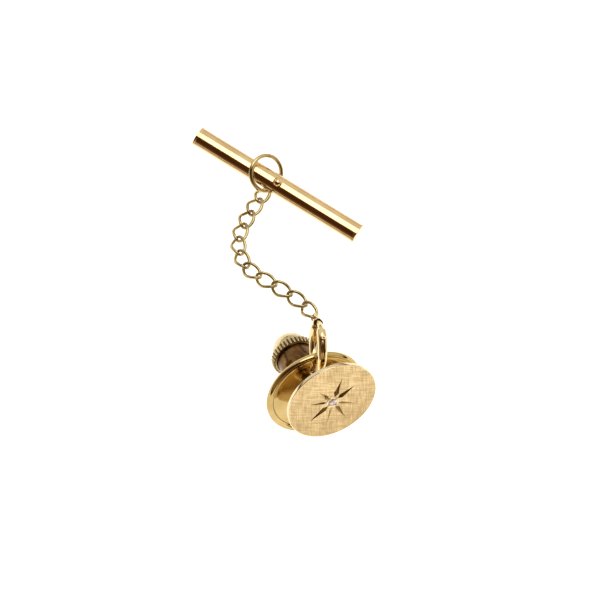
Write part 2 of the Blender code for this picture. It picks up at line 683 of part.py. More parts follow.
def make_chain(clasp):
    """Links set end through end along the route, each turning on the one before."""
    eye_point = clasp.matrix_world @ clasp_point(CLASP_EYE, EYE_REACH)
    way = [eye_point] + [eye_point + MM * Vector(step) for step in ROUTE]
    way.append(way[-1] + ROUTE_SPARE * (way[-1] - way[-2]))
    curve = smooth_route(way, 400)
    hook = EYE_RADIUS - EYE_WIRE - LINK_WIRE - LINK_SLACK
    marks = [walk(curve, 0, hook + LINK_JOIN)]
    for number in range(LINKS):
        marks.append(walk(curve, marks[-1], LINK_PITCH))
    path, ups = link_path()
    for number in range(LINKS):
        start, end = curve[marks[number]], curve[marks[number + 1]]
        frame = axes_frame((start + end) / 2, end - start, Vector((0, 0, 1)))
        if number == LINKS - 1:
            frame = frame @ Matrix.Rotation(LAST_ROLL, 4, "X")
        joint = Matrix.Translation(start) @ frame.to_3x3().to_4x4()
        body = make_empty(f"link_joint_{number + 1:02d}", joint, layout)
        place = body.matrix_world.inverted() @ frame
        if number == 0:
            make_eye(clasp, frame.to_3x3() @ Vector((0, math.cos(LINK_TWIST), -math.sin(LINK_TWIST))))
        link = wire(path, ups, LINK_WIRE, 6, True)
        add_object(f"chain_link_{number + 1:02d}", link, body, finishes["satin"], place)
    way = (curve[marks[-1]] - curve[marks[-2]]).normalized()
    return curve[marks[-1]] + (LINK_JOIN - LINK_WIRE - RING_WIRE - RING_PLAY) * way


def bar_section():
    """The half-round section: flat below, with small rounded edges."""
    half = BAR_WIDTH / 2
    points = [(-half + BAR_EDGE, 0), (half - BAR_EDGE, 0), (half, BAR_EDGE)]
    rise = BAR_HEIGHT - BAR_EDGE
    points += [(half * math.cos(a), BAR_EDGE + rise * math.sin(a)) for a in around(20)[1:10]]
    return points + [(-half, BAR_EDGE)]


def make_bar(hook_point):
    """The ring that the last link holds, and the bar with the stud that keeps it on the ring."""
    turn = Matrix.Rotation(BAR_HEADING, 4, "Z")
    tilt = Matrix.Rotation(RING_TILT, 4, "Y")
    ring_turn = turn @ tilt
    centre = hook_point - ring_turn.to_3x3() @ Vector(
        (RING_RADIUS * math.cos(RING_HOOK), RING_RADIUS * math.sin(RING_HOOK), 0)
    )
    ring_body = make_empty("ring_joint", Matrix.Translation(hook_point) @ turn, layout)
    ring_place = ring_body.matrix_world.inverted() @ Matrix.Translation(centre) @ ring_turn
    add_object("bar_ring", hoop(RING_RADIUS, RING_WIRE, 28, 8), ring_body, finishes["satin"], ring_place)

    low = -BAR_HEIGHT / 2
    middle = Matrix.Translation(centre) @ turn @ Matrix.Translation((STUD_ALONG, -BAR_ASIDE, low + BAR_LIFT))
    body = make_empty("bar_joint", middle, layout)
    shape = bmesh.new()
    loops = []
    for x in (-BAR_LENGTH / 2, BAR_END - BAR_LENGTH / 2, BAR_LENGTH / 2 - BAR_END, BAR_LENGTH / 2):
        loops.append([shape.verts.new((x, y, z)) for y, z in bar_section()])
    for low_loop, high_loop in zip(loops, loops[1:]):
        bridge(shape, low_loop, high_loop)
    shape.faces.new(loops[0])
    shape.faces.new(loops[-1])
    bar = add_object("bar", shape, body, finishes["polished"])
    drill = rod(STUD_SHANK + FIT, -1 * MM, 2 * BAR_HEIGHT, 12)
    combine(bar, add_cutter("stud_drill", drill, body), "DIFFERENCE")
    top = BAR_HEIGHT + FIT
    stud = [(0, 0), (STUD_SHANK, 0), (STUD_SHANK, top), (STUD_RADIUS, top)]
    stud += [
        (STUD_RADIUS * math.cos(a), top + 0.04 * MM + STUD_HEIGHT * math.sin(a))
        for a in (math.radians(d) for d in (0, 25, 50, 72))
    ]
    stud += [(0, top + 0.04 * MM + STUD_HEIGHT)]
    add_object("bar_stud", turned(stud, 16), body, finishes["polished"])


def stand_on_table():
    """Moves the whole layout so that its box stands on z = 0 with its middle over the origin."""
    bpy.context.view_layer.update()
    graph = bpy.context.evaluated_depsgraph_get()
    points = []
    for piece in bpy.context.scene.objects:
        if piece.type == "MESH" and not piece.hide_render:
            ready = piece.evaluated_get(graph)
            points += [piece.matrix_world @ vertex.co for vertex in ready.data.vertices]
    low = Vector(min(point[axis] for point in points) for axis in range(3))
    high = Vector(max(point[axis] for point in points) for axis in range(3))
    layout.location = -Vector(((low.x + high.x) / 2, (low.y + high.y) / 2, low.z))


make_head()
taper_mouth = make_clutch()
make_knob(taper_mouth)

hole_middle = dish_height(CHAIN_HOLE_ABOVE) - DISH_THICK / 2
hole_point = tack.matrix_world @ Vector((CHAIN_HOLE_ASIDE, CHAIN_HOLE_ABOVE, hole_middle))
clasp_turn = heading_frame(Vector(), CLASP_HEADING, CLASP_RISE, CLASP_ROLL)
clasp_centre = hole_point - clasp_turn @ clasp_point(CLASP_HANG)
clasp_frame = make_empty("clasp", Matrix.Translation(clasp_centre) @ clasp_turn, layout)
make_clasp(clasp_frame)
make_bar(make_chain(clasp_frame))
stand_on_table()
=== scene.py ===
# Gold tie tack: star-cut front, dished clutch with a knurled knob, spring ring, curb chain and bar.
import json
import math

import bmesh
import bpy
from mathutils import Matrix, Vector


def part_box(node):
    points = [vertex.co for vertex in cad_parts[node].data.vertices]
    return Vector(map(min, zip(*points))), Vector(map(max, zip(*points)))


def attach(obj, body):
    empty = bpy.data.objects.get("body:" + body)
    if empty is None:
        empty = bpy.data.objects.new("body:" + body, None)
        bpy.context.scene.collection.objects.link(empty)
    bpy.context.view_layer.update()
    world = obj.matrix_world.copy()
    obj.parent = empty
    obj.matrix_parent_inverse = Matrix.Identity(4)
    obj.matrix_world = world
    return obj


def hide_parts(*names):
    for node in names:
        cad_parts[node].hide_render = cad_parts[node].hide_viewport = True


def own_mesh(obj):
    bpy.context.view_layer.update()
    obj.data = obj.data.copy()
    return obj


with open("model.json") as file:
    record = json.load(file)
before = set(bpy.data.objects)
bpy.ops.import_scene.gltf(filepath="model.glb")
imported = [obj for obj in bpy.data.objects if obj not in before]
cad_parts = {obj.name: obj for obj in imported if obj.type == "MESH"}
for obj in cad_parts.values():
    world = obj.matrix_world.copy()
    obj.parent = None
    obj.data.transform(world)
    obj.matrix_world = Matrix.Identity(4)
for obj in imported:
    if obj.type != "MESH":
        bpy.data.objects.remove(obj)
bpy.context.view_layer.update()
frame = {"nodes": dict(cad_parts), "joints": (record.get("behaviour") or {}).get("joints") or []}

mm = 0.001
mergeGap = 1e-8  # points closer than this become one
onAxis = 1e-6  # a turned outline's point this close to the axis lies on it
upright = Vector((0, 0, 1))
scene = bpy.context.scene
joints = {joint["name"]: joint for joint in frame["joints"]}


def jointPoint(name):
    return Vector(joints[name]["pos_m"])


def jointAxis(name):
    return Vector(joints[name]["axis"]).normalized()


def frameOf(origin, x, y, z):
    turn = Matrix((x, y, z)).transposed().to_4x4()
    return Matrix.Translation(origin) @ turn @ Matrix.Scale(mm, 4)  # shapes are drawn in millimetres


# Each group of pieces is drawn in its own frame, taken from the joints.
faceOut = -jointAxis("clutch_slide")
faceUp = jointAxis("ball_1_out")
faceSide = faceUp.cross(faceOut)
tackFrame = frameOf(jointPoint("clutch_turn"), faceSide, faceUp, faceOut)

claspUp = jointAxis("clasp_swing")
claspHang = math.radians(191)  # where the ring passes through the hole, round its own circle
toHole = (jointPoint("clasp_swing") - jointPoint("bolt_slide")).normalized()
claspReach = Matrix.Rotation(-claspHang, 3, claspUp) @ toHole
claspFrame = frameOf(jointPoint("bolt_slide"), claspReach, claspUp.cross(claspReach), claspUp)

barAlong = jointAxis("bar_slide")
barAcross = upright.cross(barAlong)
barLow, barHigh = (Vector(corner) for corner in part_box("bar"))
barBase = Vector(((barLow.x + barHigh.x) / 2, (barLow.y + barHigh.y) / 2, barLow.z))
barFrame = frameOf(barBase, barAlong, barAcross, upright)
print("frames ready")


class Wire:
    def __init__(self, tree, socket):  # a socket that takes part in sums
        self.tree = tree
        self.socket = socket

    def sum(self, kind, *values):
        return addNode(self.tree, "ShaderNodeMath", {"operation": kind}, dict(enumerate(values)))

    def __add__(self, other):
        return self.sum("ADD", self, other)

    def __radd__(self, other):
        return self.sum("ADD", other, self)

    def __sub__(self, other):
        return self.sum("SUBTRACT", self, other)

    def __rsub__(self, other):
        return self.sum("SUBTRACT", other, self)

    def __mul__(self, other):
        return self.sum("MULTIPLY", self, other)

    def __rmul__(self, other):
        return self.sum("MULTIPLY", other, self)

    def __pow__(self, other):
        return self.sum("POWER", self, other)

    def cos(self):
        return self.sum("COSINE", self)

    def sin(self):
        return self.sum("SINE", self)

    def size(self):
        return self.sum("ABSOLUTE", self)

    def atLeast(self, other):
        return self.sum("MAXIMUM", self, other)

    def step(self, low, high):  # 0 below low, 1 above high, smooth between
        sockets = {"Value": self, "From Min": low, "From Max": high}
        return addNode(self.tree, "ShaderNodeMapRange", {"interpolation_type": "SMOOTHSTEP"}, sockets)


def feed(tree, socket, value):
    if isinstance(value, Wire):
        tree.links.new(value.socket, socket)
    else:
        socket.default_value = value


def addNode(tree, kind, settings=None, sockets=None, out=0):
    node = tree.nodes.new(kind)
    for key, value in (settings or {}).items():
        setattr(node, key, value)
    for key, value in (sockets or {}).items():
        feed(tree, node.inputs[key], value)
    return Wire(tree, node.outputs[out]) if node.outputs else None  # a tree's last node has no outputs


def splitUp(tree, place):
    parts = addNode(tree, "ShaderNodeSeparateXYZ", None, {0: place}).socket.node
    return [Wire(tree, socket) for socket in parts.outputs]


def mixed(tree, share, first, second):
    # a Mix node in colour mode keeps its colours in sockets 6 and 7 and gives its result in 2
    return addNode(tree, "ShaderNodeMix", {"data_type": "RGBA"}, {0: share, 6: first, 7: second}, out=2)


class Finish:
    def __init__(self, name, steady):  # steady values sit on the shader, and what varies is linked
        self.material = bpy.data.materials.new(name)
        self.material.use_nodes = True
        self.tree = self.material.node_tree
        self.shader = self.tree.nodes["Principled BSDF"]
        for key, value in steady.items():
            self.shader.inputs[key].default_value = value
        self.place = self.node("ShaderNodeTexCoord", out="Object")

    def node(self, kind, settings=None, sockets=None, out=0):
        return addNode(self.tree, kind, settings, sockets, out)

    def along(self, direction):  # distance in millimetres along a direction
        scaled = tuple(value / mm for value in direction)
        settings = {"operation": "DOT_PRODUCT"}
        return self.node("ShaderNodeVectorMath", settings, {0: self.place, 1: scaled}, out="Value")

    def joined(self, x, y, z):
        return self.node("ShaderNodeCombineXYZ", None, {0: x, 1: y, 2: z})

    def noise(self, place, scale, detail=2.0, roughness=0.5):
        sockets = {"Vector": place, "Scale": scale, "Detail": detail, "Roughness": roughness}
        return self.node("ShaderNodeTexNoise", None, sockets)

    def blend(self, share, first, second):
        return mixed(self.tree, share, first, second)

    def bump(self, height, strength, depth):
        return self.node("ShaderNodeBump", None, {"Height": height, "Strength": strength, "Distance": depth})

    def show(self, **links):
        names = {"colour": "Base Color", "roughness": "Roughness", "normal": "Normal"}
        for key, value in links.items():
            feed(self.tree, self.shader.inputs[names[key]], value)
        return self.material


def colour(red, green, blue):
    return (red, green, blue, 1.0)


def acrossOf(axis):
    # two directions square to an axis
    side = axis.cross(Vector((1, 0, 0))).normalized()
    return side, axis.cross(side).normalized()


# Polished plate: faint buffing streaks, tiny scuffs and a slow drift in tone.
def polishedGold(name, deep, pale, streakAxis, rough=(0.06, 0.15)):
    finish = Finish(name, {"Metallic": 1.0})
    one, two = (finish.along(side) for side in acrossOf(streakAxis))
    run = finish.along(streakAxis)
    streaks = finish.noise(finish.joined(one * 9, two * 9, run * 0.8), 1.0, 3)
    drift = finish.noise(finish.place, 420.0, 2)
    scuffs = finish.noise(finish.joined(one * 0.7, two * 16, run * 7), 1.0, 1).step(0.68, 0.74)
    tone = (streaks * 0.35 + drift * 0.65).step(0.3, 0.7)
    grain = streaks * 0.7 + finish.noise(finish.place, 9000.0, 2) * 0.3
    return finish.show(
        colour=finish.blend(tone, deep, pale),
        roughness=grain * (rough[1] - rough[0]) + rough[0] + scuffs * 0.06,
        normal=finish.bump(grain + scuffs * 0.25, 0.06, 0.000006),
    )


linenLines = (Vector((1, 0, 0)), Vector((0, 0.9455, 0.3256)))  # each set of lines crosses one of these


# Cross-brushed face: two sets of fine lines, level and upright as the face is seen from above.
def linenGold(name, deep, pale):
    finish = Finish(name, {"Metallic": 1.0, "Anisotropic": 0.25})
    cloth = 0
    for layer, away in enumerate(linenLines):
        run = faceOut.cross(away).normalized()
        lengthwise = finish.along(run)
        across = finish.along(faceOut.cross(run).normalized())
        broad = finish.noise(finish.joined(across * 5.5, lengthwise * 0.45, 3.0 + layer), 1.0, 4, 0.65)
        fine = finish.noise(finish.joined(across * 20, lengthwise * 1.2, 9.0 + layer), 1.0, 2)
        cloth = cloth + broad * 0.34 + fine * 0.16
    clouds = finish.noise(finish.place, 450.0, 2)
    heightRamp = finish.along(faceUp).step(-6.5, 3.5)  # the face is a little darker towards its lower side
    tone = (cloth * 0.88 + clouds * 0.12 + heightRamp * 0.06 - 0.04).step(0.42, 0.6)
    return finish.show(
        colour=finish.blend(tone, deep, pale),
        roughness=0.5 - cloth * 0.22,
        normal=finish.bump(cloth, 0.5, 0.00003),
    )


# Satin: a soft tumbled surface with small dents.
def satinGold(name, deep, pale, rough):
    finish = Finish(name, {"Metallic": 1.0})
    fine = finish.noise(finish.place, 7000.0, 4, 0.6)
    drift = finish.noise(finish.place, 600.0, 3)
    dents = finish.noise(finish.place, 1900.0, 1).step(0.3, 0.45)
    tone = (fine * 0.4 + drift * 0.6).step(0.32, 0.68)
    return finish.show(
        colour=finish.blend(tone, deep, pale),
        roughness=fine * 0.16 + (rough - 0.08) + (1 - dents) * 0.04,
        normal=finish.bump(fine * 0.6 + dents * 0.4, 0.12, 0.00001),
    )


def hardSteel(name):
    finish = Finish(name, {"Metallic": 1.0})
    fine = finish.noise(finish.place, 5000.0, 3)
    drift = finish.noise(finish.place, 900.0, 2)
    return finish.show(
        colour=finish.blend(drift.step(0.3, 0.7), colour(0.42, 0.42, 0.43), colour(0.62, 0.61, 0.6)),
        roughness=fine * 0.15 + 0.16,
        normal=finish.bump(fine, 0.08, 0.000008),
    )


def clearStone(name):
    finish = Finish(name, {"IOR": 2.2, "Metallic": 0.0, "Transmission Weight": 0.1, "Coat Weight": 1.0})
    drift = finish.noise(finish.place, 3600.0, 2)
    return finish.show(
        colour=finish.blend(drift.step(0.42, 0.58), colour(0.60, 0.33, 0.27), colour(1.0, 0.88, 0.80)),
        roughness=drift * 0.05 + 0.02,
        normal=finish.bump(finish.noise(finish.place, 400.0, 1), 0.02, 0.00001),
    )


linen = linenGold("linenGold", colour(0.44, 0.305, 0.135), colour(0.78, 0.585, 0.31))
edgeGold = polishedGold("edgeGold", colour(0.72, 0.57, 0.33), colour(0.86, 0.71, 0.45), faceOut)
# the star's cut facets and the stone's seat are painted dark brown: painted dark reflection and shade on the
# plate's own polished gold
cutPaintedReflection = polishedGold("cutPaintedReflection", colour(0.26, 0.16, 0.05), colour(0.50, 0.34, 0.14), faceSide, (0.05, 0.12))
dishGold = polishedGold("dishGold", colour(0.42, 0.29, 0.10), colour(0.58, 0.43, 0.18), faceOut, (0.06, 0.12))
barGold = polishedGold("barGold", colour(0.67, 0.46, 0.22), colour(0.80, 0.575, 0.30), barAlong, (0.07, 0.13))
claspGold = polishedGold("claspGold", colour(0.68, 0.53, 0.27), colour(0.86, 0.70, 0.42), claspUp)
pinGold = polishedGold("pinGold", colour(0.62, 0.46, 0.22), colour(0.76, 0.59, 0.31), faceOut)
chainGold = satinGold("chainGold", colour(0.34, 0.26, 0.11), colour(0.58, 0.47, 0.24), 0.2)
ringGold = satinGold("ringGold", colour(0.40, 0.31, 0.14), colour(0.62, 0.50, 0.26), 0.2)
knobGold = satinGold("knobGold", colour(0.52, 0.41, 0.21), colour(0.78, 0.64, 0.38), 0.27)
# near-black gold for the drum between the knurled ridges: painted shade
knurlPaintedShade = satinGold("knurlPaintedShade", colour(0.10, 0.055, 0.015), colour(0.22, 0.14, 0.05), 0.3)
# very dark brown gold for the barrel's neck: painted shade and painted dark reflection on the neck's gold
neckPaintedShade = satinGold("neckPaintedShade", colour(0.08, 0.035, 0.01), colour(0.24, 0.13, 0.045), 0.2)
steel = hardSteel("hardSteel")
gem = clearStone("gemStone")
print("finishes ready")


def around(count, start=0.0):
    return [start + 2 * math.pi * step / count for step in range(count)]


def onCircle(radius, angle, height=0.0):
    return Vector((radius * math.cos(angle), radius * math.sin(angle), height))


def circleAt(angle, bend, radius, sides):
    # a circle of points square to a line bent round z
    out = onCircle(1, angle)
    return [out * (bend + radius * math.cos(a)) + Vector((0, 0, radius * math.sin(a))) for a in around(sides)]


def rounded(corners, steps=5):
    # a closed outline whose corners (x, y, radius) are eased by short curves
    outline = []
    count = len(corners)
    for place, (x, y, radius) in enumerate(corners):
        here = Vector((x, y))
        if radius <= 0:
            outline.append((x, y))
            continue
        before = Vector(corners[place - 1][:2])
        after = Vector(corners[(place + 1) % count][:2])
        start = here + (before - here).normalized() * radius
        end = here + (after - here).normalized() * radius
        for step in range(steps + 1):
            share = step / steps
            point = start * (1 - share) ** 2 + here * 2 * share * (1 - share) + end * share**2
            outline.append((point.x, point.y))
    return outline


def turned(outline, segments):
    # a closed outline of (radius, height) turned about z; two neighbouring points may lie on the axis
    shape = bmesh.new()
    loops = []
    for radius, height in outline:
        if radius <= onAxis:
            loops.append([shape.verts.new((0, 0, height))] * segments)
        else:
            loops.append([shape.verts.new(onCircle(radius, a, height)) for a in around(segments)])
    for low, high in zip(loops, loops[1:] + loops[:1]):
        for place in range(segments):
            following = (place + 1) % segments
            corners = list(dict.fromkeys((low[place], low[following], high[following], high[place])))
            if len(corners) > 2:
                shape.faces.new(corners)
    return shape


def plug(radius, low, high, segments):
    return turned([(0, low), (radius, low), (radius, high), (0, high)], segments)


def bridge(shape, low, high):
    for place in range(len(low)):
        following = (place + 1) % len(low)
        shape.faces.new((low[place], low[following], high[following], high[place]))


def strung(loops, closed):
    # skins a list of equal loops of points
    shape = bmesh.new()
    rings = [[shape.verts.new(point) for point in loop] for loop in loops]
    for low, high in zip(rings, rings[1:]):
        bridge(shape, low, high)
    if closed:
        bridge(shape, rings[-1], rings[0])
    else:
        shape.faces.new(rings[0])
        shape.faces.new(rings[-1])
    return shape


def hoop(bend, thick, steps, sides):
    return strung([circleAt(angle, bend, thick, sides) for angle in around(steps)], True)


def newObject(name, mesh):
    piece = bpy.data.objects.new(name, mesh)
    scene.collection.objects.link(piece)
    return piece


def soften(mesh, sharp):
    mesh.shade_smooth()
    mesh.set_sharp_from_angle(angle=math.radians(sharp))


def filled(mesh, shape, place, sharp):
    # puts a finished shape in its place and into a mesh
    shape.transform(place)
    bmesh.ops.remove_doubles(shape, verts=shape.verts, dist=mergeGap)
    bmesh.ops.recalc_face_normals(shape, faces=shape.faces)
    shape.to_mesh(mesh)
    shape.free()
    soften(mesh, sharp)
    return mesh


def meshOf(name, shape, place, *paints, sharp=40):
    mesh = bpy.data.meshes.new(name)
    for paint in paints:
        mesh.materials.append(paint)
    return filled(mesh, shape, place, sharp)


def made(name, shape, place, *paints, sharp=40):
    return newObject(name, meshOf(name, shape, place, *paints, sharp=sharp))


def cut(piece, cutterMesh, kind="DIFFERENCE"):
    # an exact cut or join, worked out at once; the cutter's own finish comes with it
    cutter = newObject("cutter", cutterMesh)
    step = piece.modifiers.new("cut", "BOOLEAN")
    step.operation = kind
    step.object = cutter
    step.solver = "EXACT"
    step.material_mode = "TRANSFER"
    bpy.context.view_layer.update()
    ready = piece.evaluated_get(bpy.context.evaluated_depsgraph_get())
    result = bpy.data.meshes.new_from_object(ready)
    piece.modifiers.remove(step)
    piece.data = result
    bpy.data.objects.remove(cutter)


def settle(piece, body, nodes, sharp=None):
    if sharp is not None:
        soften(piece.data, sharp)
    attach(piece, body)
    if nodes:
        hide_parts(*nodes)
    return piece


frontPlate = {
    "radius": 4.75, "stretch": 9.8 / 9.5, "turn": 20, "back": 2.52, "thick": 0.45, "rise": 0.12, "edge": 0.09,
    "aside": 0.95, "above": 0.82, "domeSteps": 14, "segments": 180,
}
star = {
    "rays": (  # direction in degrees, reach, width
        (59, 3.1, 0.6), (20, 2.8, 0.6), (-34, 2.8, 0.28), (-73, 3.0, 0.5),
        (-113, 2.9, 0.26), (-153, 3.1, 0.6), (159, 2.6, 0.3), (118, 2.4, 0.5),
    ),
    "start": 0.66, "depth": 0.2, "steep": 0.45, "lift": 0.3, "swell": 0.2,
}
platePlace = tackFrame @ Matrix.Translation((frontPlate["aside"], frontPlate["above"], 0))
faceHeight = frontPlate["back"] + frontPlate["thick"]


def faceAt(radius):
    share = radius / (frontPlate["radius"] - frontPlate["edge"])
    return faceHeight + frontPlate["rise"] * (1 - share**2)


def makeFrontPlate(size):
    radius, back, edge = size["radius"], size["back"], size["edge"]
    hair = 0.01  # the rounded edge ends this far under the face
    outline = rounded([(0, back, 0), (radius, back, edge), (radius, faceHeight - hair, edge)])
    for step in range(1, size["domeSteps"] + 1):
        reach = (radius - edge) * (1 - step / size["domeSteps"])
        outline.append((reach, faceAt(reach)))
    shape = turned(outline, size["segments"])
    for one in shape.faces:
        centre = one.calc_center_median()
        onRim = math.hypot(centre.x, centre.y) > radius - 0.9 * edge
        if onRim or centre.z < back + 2 * hair:
            one.material_index = 1  # the rim and the back are polished, not brushed
    oval = Matrix.Rotation(math.radians(size["turn"]), 4, "Z") @ Matrix.Diagonal((size["stretch"], 1, 1, 1))
    return made("frontPlate", shape, platePlace @ oval, linen, edgeGold, cutPaintedReflection)


def makeRays(size):
    # each ray is a two-sided groove whose ends run out on the domed face
    shape = bmesh.new()
    for degrees, reach, width in size["rays"]:
        out = onCircle(1, math.radians(degrees))
        side = Vector((-out.y, out.x, 0))
        middle = size["start"] + size["swell"] * (reach - size["start"])
        deep = min(size["depth"], size["steep"] * width)
        lift = Vector((0, 0, size["lift"]))
        spread = (1 + size["lift"] / deep) * width / 2
        top = middle * out + Vector((0, 0, faceAt(middle)))
        places = (size["start"], reach)
        ends = [shape.verts.new(place * out + Vector((0, 0, faceAt(place)))) for place in places]
        keel = shape.verts.new(top - Vector((0, 0, deep)))
        left = shape.verts.new(top + spread * side + lift)
        right = shape.verts.new(top - spread * side + lift)
        for end in ends:
            for corners in ((end, keel, left), (end, keel, right), (end, left, right)):
                shape.faces.new(corners)
    return meshOf("rays", shape, platePlace, cutPaintedReflection)


setting = {
    "radius": 0.66, "inner": 0.5, "height": 0.16, "sunk": 0.22, "beads": 4, "bead": 0.12, "beadInset": 0.1,
    "turn": 25, "seat": 0.6, "seatDepth": 0.2,
}
stone = {
    "radius": 0.52, "table": 0.55, "crown": 0.17, "pavilion": 0.30, "sunk": 0.07, "girdle": (-0.01, 0.015),
}

plate = makeFrontPlate(frontPlate)
cut(plate, makeRays(star))
seat = plug(setting["seat"], faceHeight - setting["seatDepth"], faceHeight + 1, 48)
cut(plate, meshOf("seat", seat, platePlace, cutPaintedReflection))
settle(plate, "head", ["front_plate"], 25)


def makeSetting(size):
    top = faceHeight + size["height"]
    low = faceHeight - size["sunk"]
    inner, outer = size["inner"], size["radius"]
    corners = [(inner, low, 0.03), (outer, low, 0.03), (outer, top, 0.05), (inner, top, 0.03)]
    ring = made("stoneSetting", turned(rounded(corners), 64), platePlace, edgeGold)
    for turn in around(size["beads"], math.radians(size["turn"])):
        bead = bmesh.new()
        bmesh.ops.create_uvsphere(bead, u_segments=20, v_segments=14, radius=size["bead"])
        spot = Matrix.Translation(onCircle(outer - size["beadInset"], turn, top))
        cut(ring, meshOf("bead", bead, platePlace @ spot, edgeGold), "UNION")
    return ring


def makeStone(size):
    # a round brilliant: the hull of its table, star, girdle and pavilion points
    shape = bmesh.new()
    girdle = faceHeight + setting["height"] - size["sunk"]
    radius = size["radius"]
    points = [onCircle(size["table"] * radius, turn, girdle + size["crown"]) for turn in around(8)]
    points += [onCircle(0.80 * radius, turn, girdle + 0.6 * size["crown"]) for turn in around(8, math.pi / 8)]
    points += [onCircle(radius, turn, girdle + height) for turn in around(16) for height in size["girdle"]]
    low = girdle - 0.62 * size["pavilion"]
    points += [onCircle(0.45 * radius, turn, low) for turn in around(8, math.pi / 8)]
    points.append((0, 0, girdle - size["pavilion"]))
    for point in points:
        shape.verts.new(point)
    bmesh.ops.convex_hull(shape, input=shape.verts)
    piece = made("stoneGem", shape, platePlace, gem)
    piece.data.shade_flat()
    return piece


settle(makeSetting(setting), "head", ["stone_setting"], 40)
settle(makeStone(stone), "head", ["stone"])

pin = {
    "radius": 0.5, "length": 8.2, "point": 1.1, "tip": 0.12, "back": frontPlate["back"],
    "groove": 0.12, "grooveMarks": (0.7, 0.55, 0.35, 0.2),
    "pad": 0.95, "padHeight": 0.35, "padEdge": 0.1, "padPlay": 0.02,
}


def makePin(size):
    base = size["back"] + 0.1  # it runs a little way into the plate
    tip = size["back"] - size["length"]
    neck = tip + size["point"]
    radius = size["radius"]
    inner = radius - size["groove"]
    above, upper, lower, below = (neck + mark for mark in size["grooveMarks"])
    corners = [
        (0, base, 0), (radius, base, 0.02), (radius, above, 0.05), (inner, upper, 0.05), (inner, lower, 0.05),
        (radius, below, 0.05), (radius, neck, 0.2), (size["tip"], tip + size["tip"] / 2, 0.08), (0, tip, 0),
    ]
    return turned(rounded(corners), 48)


def makePad(size):
    top = size["back"] - 0.01
    foot = size["back"] - size["padHeight"]
    inner = size["radius"] + size["padPlay"]
    corners = [
        (inner, top, 0), (size["pad"], top, 0.02), (size["pad"], size["back"] - size["padEdge"], 0.05),
        (inner + 0.12, foot, 0.12), (inner, foot, 0),
    ]
    return turned(rounded(corners), 64)


settle(made("pinPost", makePin(pin), tackFrame, pinGold), "head", ["pin"])
settle(made("pinPad", makePad(pin), tackFrame, pinGold), "head", ["pin_pad"])
print("head made")

dish = {
    "radius": 5.25, "rim": 0.37, "depth": 0.42, "thick": 0.32, "flatBack": 2.2, "bore": 0.85, "segments": 200,
    "hole": 0.9, "holeAside": 0.95, "holeAbove": 2.95,
    "lineDepth": 0.035, "lineWidth": 0.07, "lineInset": 0.22,
    "rimStart": 165, "rimSweep": 315, "rimSteps": 24, "faceSteps": 26,
}
rimMiddle = dish["radius"] - dish["rim"]
dishBack = dish["rim"] - dish["depth"] - dish["thick"]


def dishHeight(radius):
    share = min(1.0, radius / rimMiddle)
    return dish["rim"] - dish["depth"] * (1 - share**2) - dish["rim"] * 0.6 * share**2


def makeDish(size):
    inner = rimMiddle - size["rim"]
    steps = size["faceSteps"]
    marks = [size["bore"] + (inner - size["bore"]) * step / steps for step in range(steps + 1)]
    front = []
    for radius in marks:
        away = (radius - inner + size["lineInset"]) / size["lineWidth"]
        line = math.exp(-(away**2)) * size["lineDepth"]  # a fine spun line inside the rim
        front.append((radius, dishHeight(radius) - line))
    rim = []
    for step in range(size["rimSteps"] + 1):
        angle = math.radians(size["rimStart"] - size["rimSweep"] * step / size["rimSteps"])
        rim.append((rimMiddle + size["rim"] * math.cos(angle), size["rim"] * math.sin(angle)))
    back = []
    for radius in reversed(marks):
        back.append((radius, dishHeight(radius) - size["thick"] if radius > size["flatBack"] else dishBack))
    piece = made("clutchDish", turned(front + rim + back, size["segments"]), tackFrame, dishGold)
    spot = Matrix.Translation((size["holeAside"], size["holeAbove"], 0))
    cut(piece, meshOf("drill", plug(size["hole"], -2, 2, 64), tackFrame @ spot, dishGold))
    return piece


settle(makeDish(dish), "clutch", ["clutch_plate"], 32)

barrel = {
    "front": -0.4, "length": 5.15, "bore": 1.6, "lip": 0.88, "lipThick": 0.25,
    "profile": (  # radius, distance behind the front, easing: flange, waist with its groove, body
        (2.12, 0, 0.04), (2.12, 0.3, 0.08), (1.9, 0.55, 0.14), (1.9, 1.5, 0.02), (1.84, 1.56, 0.02),
        (1.84, 1.66, 0.02), (1.9, 1.72, 0.02), (1.9, 2.9, 0.14), (2.0, 3.3, 0.14), (2.0, 5.15, 0.05),
    ),
}
bush = {"inner": 0.55, "outer": 0.8, "foot": 1.0, "footBack": 0.28, "footFront": 0.05}


def makeBarrel(size):
    front, lip, bore = size["front"], size["lip"], size["bore"]
    end = front - size["length"]
    inside = end + size["lipThick"]
    corners = [(radius, front - behind, ease) for radius, behind, ease in size["profile"]]
    corners += [(lip, end, 0.03), (lip, inside, 0.02), (bore, inside, 0.02), (bore, front, 0.02)]
    return turned(rounded(corners), 96)


def makeBush(size):
    top = dishHeight(0)
    back = dishBack - size["footBack"]
    front = dishBack - size["footFront"]
    corners = [
        (size["inner"], back, 0.02), (size["foot"], back, 0.03), (size["foot"], front, 0.02),
        (size["outer"], front, 0.01), (size["outer"], top, 0.06), (size["inner"], top, 0.05),
    ]
    return turned(rounded(corners), 64)


# the barrel is painted dark brown, as painted shade on its neck
neckPiece = made("clutchBarrel", makeBarrel(barrel), tackFrame, neckPaintedShade)
settle(neckPiece, "clutch", ["clutch_barrel"])
settle(made("guideBush", makeBush(bush), tackFrame, pinGold), "bush", ["guide_bush"])
print("clutch made")


# The trees below grow what repeats or follows a path. Nothing in them is random.
def newTree(name, sizes):
    # one named input for each size and one for the finish
    tree = bpy.data.node_groups.new(name, "GeometryNodeTree")
    for label, value in sizes.items():
        kind = "NodeSocketInt" if isinstance(value, int) else "NodeSocketFloat"
        tree.interface.new_socket(label, in_out="INPUT", socket_type=kind).default_value = value
    tree.interface.new_socket("Paint", in_out="INPUT", socket_type="NodeSocketMaterial")
    tree.interface.new_socket("Mesh", in_out="OUTPUT", socket_type="NodeSocketGeometry")
    source = addNode(tree, "NodeGroupInput").socket.node
    return tree, {socket.name: Wire(tree, socket) for socket in source.outputs if socket.name}


